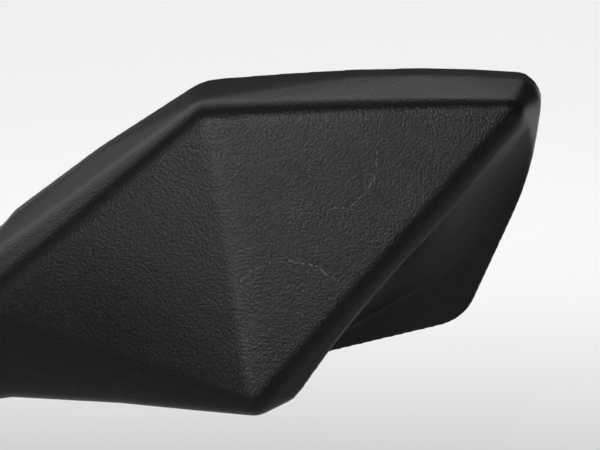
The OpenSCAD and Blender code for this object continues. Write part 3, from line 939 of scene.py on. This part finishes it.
# %% Springs and nuts on the clamp screws
def coil_spring(matrix):
    """A compression spring of round wire, wound three and a half times."""
    bm = bmesh.new()
    lying = Matrix.Rotation(math.pi / 2, 4, "X")
    at = Matrix.Translation(((SPRING_R - WIRE_R) * MM, 0, WIRE_R * MM)) @ lying
    bmesh.ops.create_circle(bm, cap_ends=True, radius=WIRE_R * MM, segments=12, matrix=at)
    steps = int(32 * SPRING_TURNS)
    bmesh.ops.spin(
        bm, geom=bm.verts[:] + bm.edges[:] + bm.faces[:], cent=(0, 0, 0), axis=(0, 0, 1),
        angle=2 * math.pi * SPRING_TURNS, steps=steps,
        dvec=(0, 0, (SPRING_H - 2 * WIRE_R) / steps * MM))
    bmesh.ops.transform(bm, matrix=matrix, verts=bm.verts)
    return bm


set_of("clamp_spring_set", "spring_steel", spring_steel, "clamp_springs", [
    coil_spring(at_screw(x, z, -PLATE_GAP - CLAMP_T - SPRING_H)) for x, z in CLAMP_SCREWS])
small_nuts = []
for x, z in CLAMP_SCREWS:
    small = written(hexagon(SMALL_HEX, 0, SMALL_NUT_H), "nut")
    combined(small, "DIFFERENCE", written(turned([
        (0, -1), (SMALL_FLARE_R, -1), (SMALL_BORE_R, 0.4), (SMALL_BORE_R, SMALL_NUT_H - 0.4),
        (SMALL_FLARE_R, SMALL_NUT_H + 1), (0, SMALL_NUT_H + 1)], steps=32), "bore"))
    small = reshaped(small)
    bmesh.ops.transform(small, matrix=at_screw(x, z, PLATE_GAP + BRACKET_T), verts=small.verts)
    small_nuts.append(small)
set_of("clamp_nut_set", "zinc_steel", zinc_steel, "clamp_nuts", small_nuts)

# %% [markdown]
# ## The parts that stay as packed
#
# The pressed plates, the liners, the foam pad and the glass's carrier already have their real shapes
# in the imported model. They only need a finish: drawn steel, milky nylon, open foam and plain
# moulded plastic.

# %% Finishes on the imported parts
nylon = shaded("nylon", 0.4, Subsurface_Weight=0.12, IOR=1.53)
into(nylon, "Base Color", tones(nylon, noise(nylon, 6), (0.72, 0.69, 0.61), (0.82, 0.80, 0.73)))
into(nylon, "Roughness", between(nylon, noise(nylon, 2), 0.33, 0.47, 0.3, 0.7))

foam = shaded("foam", 0.9)
cells = node(foam, "TexVoronoi", {"Vector": place(foam), "Scale": 1 / (0.6 * MM)})
into(foam, "Base Color", tones(foam, cells, (0.012, 0.012, 0.013), (0.045, 0.045, 0.048)))
bumped(foam, cells, 0.15, 0.8)

carrier_plastic = shaded("carrier_plastic", 0.45, IOR=1.49)
flow = noise(carrier_plastic, 14, detail=3)
into(carrier_plastic, "Base Color", tones(
    carrier_plastic, flow, (0.010, 0.010, 0.011), (0.018, 0.018, 0.019)))
into(carrier_plastic, "Roughness", between(carrier_plastic, flow, 0.36, 0.52, 0.3, 0.7))
bumped(carrier_plastic, noise(carrier_plastic, 0.6), 0.03, 0.6)

KEPT = {
    "adhesive_pad": foam, "glass_carrier": carrier_plastic, "pivot_bracket": pressed_steel,
    "clamp_plate": pressed_steel, "liner_rear": nylon, "liner_front": nylon}
for name, material in KEPT.items():
    kept = frame["nodes"][name]
    kept.data.materials.clear()
    kept.data.materials.append(material)
print("packed parts finished:", ", ".join(KEPT))

# %% [markdown]
# ## Camera, floor and light
#
# A long lens keeps the facets' proportions, and a broad soft light from above and behind leaves the
# upper band bright and the lower facets dark, as a product table does.

# %% Camera
AZIMUTH, ELEVATION = math.radians(186), math.radians(20)
DISTANCE, FOCAL_LENGTH, SENSOR_WIDTH = 0.75, 155.25, 36
look_at = head(129, -24, 42)
back = Vector((
    math.sin(AZIMUTH) * math.cos(ELEVATION),
    -math.cos(AZIMUTH) * math.cos(ELEVATION),
    math.sin(ELEVATION)))
lens = bpy.data.cameras.new("camera")
lens.lens, lens.sensor_width = FOCAL_LENGTH, SENSOR_WIDTH
camera = link("camera", lens)
camera.location = look_at + back * DISTANCE
camera.rotation_euler = back.to_track_quat("Z", "Y").to_euler()
bpy.context.scene.camera = camera
print("camera, mm:", [round(c / MM) for c in camera.location])

# %% Floor
FLOOR_HALF, FLOOR_GAP = 6, 0.2
bm = bmesh.new()
bmesh.ops.create_grid(bm, x_segments=1, y_segments=1, size=FLOOR_HALF)
floor = written(bm, "floor")
floor.location.z = cad_box[0].z - FLOOR_GAP * MM
floor_paint = shaded("floor_paint", 0.9, Base_Color=(0.86, 0.865, 0.86, 1))
floor.data.materials.append(floor_paint)
print("floor, mm:", round(floor.location.z / MM, 1))


# %% Lights
def softbox(name, location, target, wide, deep, brightness, spread=179):
    """An area light that faces a target; its brightness is what its face would measure."""
    light = bpy.data.lights.new(name, "AREA")
    light.shape, light.size, light.size_y = "RECTANGLE", wide, deep
    light.spread = math.radians(spread)
    grid = math.tan(light.spread / 2)
    light.energy = brightness * math.pi * wide * deep * (grid - light.spread / 2) / grid
    lamp = link(name, light)
    lamp.location = location
    lamp.rotation_euler = (Vector(location) - Vector(target)).to_track_quat("Z", "Y").to_euler()
    lamp.visible_camera = False
    return lamp


softbox("key", look_at + Vector((0.17, 0.85, 0.44)), look_at, 0.26, 0.24, 12.5, 50)
softbox("fill", look_at + Vector((0.7, 0.65, 0.3)), look_at, 0.5, 0.5, 0.6, 90)
softbox("canopy", look_at + Vector((0.2, -0.2, 1.0)), look_at, 1.0, 0.7, 0.4, 90)
softbox("back_top", look_at + Vector((0.1, -0.5, 0.8)), look_at, 1.2, 0.5, 1.8, 80)
softbox("inner", look_at + Vector((0.8, -0.5, 0.55)), look_at, 0.8, 0.7, 1.9, 60)
softbox("front_floor", (-0.2, 0.85, 0.7), (-0.2, 0.85, 0), 1.8, 0.7, 4.5, 50)
softbox("backdrop", (-0.2, -1.05, 0.6), (-0.2, -1.05, 0), 2.4, 1.5, 10.2, 60)
world = bpy.data.worlds.new("studio")
world.use_nodes = True
world.node_tree.nodes["Background"].inputs["Color"].default_value = (1, 1, 1, 1)
world.node_tree.nodes["Background"].inputs["Strength"].default_value = 0.06
bpy.context.scene.world = world
bpy.context.scene.view_settings.view_transform = "Standard"
print("lights:", len(bpy.data.lights))
